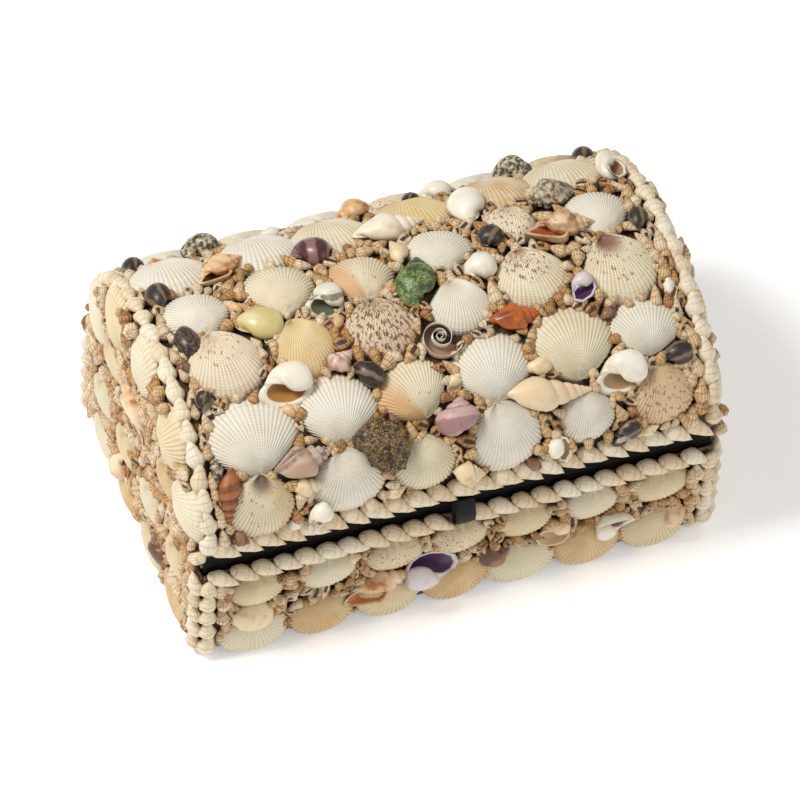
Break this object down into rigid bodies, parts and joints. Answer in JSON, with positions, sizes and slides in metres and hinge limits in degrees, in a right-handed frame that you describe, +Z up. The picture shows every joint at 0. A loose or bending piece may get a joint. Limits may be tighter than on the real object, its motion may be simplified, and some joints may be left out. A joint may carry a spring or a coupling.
{
  "type": "shell box",
  "caption": "Small wooden box with a barrel lid, both covered in sea shells set in glue, shell borders along the edges and a ribbon pull tab on the lid.",
  "frame": {"origin": "centre of the flat wooden underside, on the surface the box stands on", "axes": "+X along the length towards the right-hand end, -Y out of the front with the pull tab, +Z up"},
  "size_m": [0.2508, 0.1618, 0.1318],
  "materials": {
    "painted_wood": "matt black paint",
    "ribbon": "plain black ribbon",
    "whelk_shell": "satin natural shell",
    "cockle_shell": "satin natural shell, ribbed",
    "mixed_shell": "natural shell set in glue",
    "green_shell": "glossy mottled green shell",
    "cut_shell": "cut shell with dark bands",
    "amber_shell": "glossy amber shell",
    "white_shell": "smooth white shell",
    "cream_shell": "smooth cream shell",
    "mauve_shell": "banded mauve shell",
    "dark_shell": "dark mottled shell",
    "brown_shell": "banded brown shell",
    "yellow_shell": "smooth yellow shell"
  },
  "bodies": {
    "root": {"amber_snail": "amber_shell", "auger": "cream_shell", "base_back_shells": "mixed_shell", "base_border_back": "whelk_shell", "base_border_front": "whelk_shell", "base_border_left": "whelk_shell", "base_border_right": "whelk_shell", "base_box": "painted_wood", "base_front_shells": "mixed_shell", "base_left_shells": "mixed_shell", "base_right_shells": "mixed_shell", "brown_conch": "brown_shell", "cockle_a1": "cockle_shell", "cockle_a2": "cockle_shell", "cockle_a3": "cockle_shell", "cockle_a4": "cockle_shell", "cockle_a5": "cockle_shell", "cockle_a6": "cockle_shell", "cockle_b1": "cockle_shell", "cockle_b2": "cockle_shell", "cockle_b3": "cockle_shell", "cockle_b4": "cockle_shell", "cockle_b5": "cockle_shell", "cockle_b6": "cockle_shell", "cockle_c1": "cockle_shell", "cockle_c2": "cockle_shell", "cockle_c3": "cockle_shell", "cockle_c4": "cockle_shell", "cockle_c5": "cockle_shell", "cockle_c6": "cockle_shell", "cockle_d1": "cockle_shell", "cockle_d2": "cockle_shell", "cockle_d3": "cockle_shell", "cockle_d4": "cockle_shell", "cockle_d5": "cockle_shell", "cockle_d6": "cockle_shell", "cream_conch": "cream_shell", "dark_nerite": "dark_shell", "far_cockles": "cockle_shell", "lid": "painted_wood", "lid_border": "whelk_shell", "lid_left_shells": "mixed_shell", "lid_right_shells": "mixed_shell", "mauve_snail": "mauve_shell", "moon_left": "white_shell", "moon_right": "white_shell", "open_nerite": "cut_shell", "orange_conch": "amber_shell", "pull_tab": "ribbon", "purple_nerite": "dark_shell", "red_nerite": "mauve_shell", "ribbed_whelk": "brown_shell", "rough_snail": "dark_shell", "spiral": "cut_shell", "spotted_conch": "brown_shell", "turban": "green_shell", "white_egg": "white_shell", "white_spindle": "white_shell", "yellow_oval": "yellow_shell"}
  },
  "joints": []
}
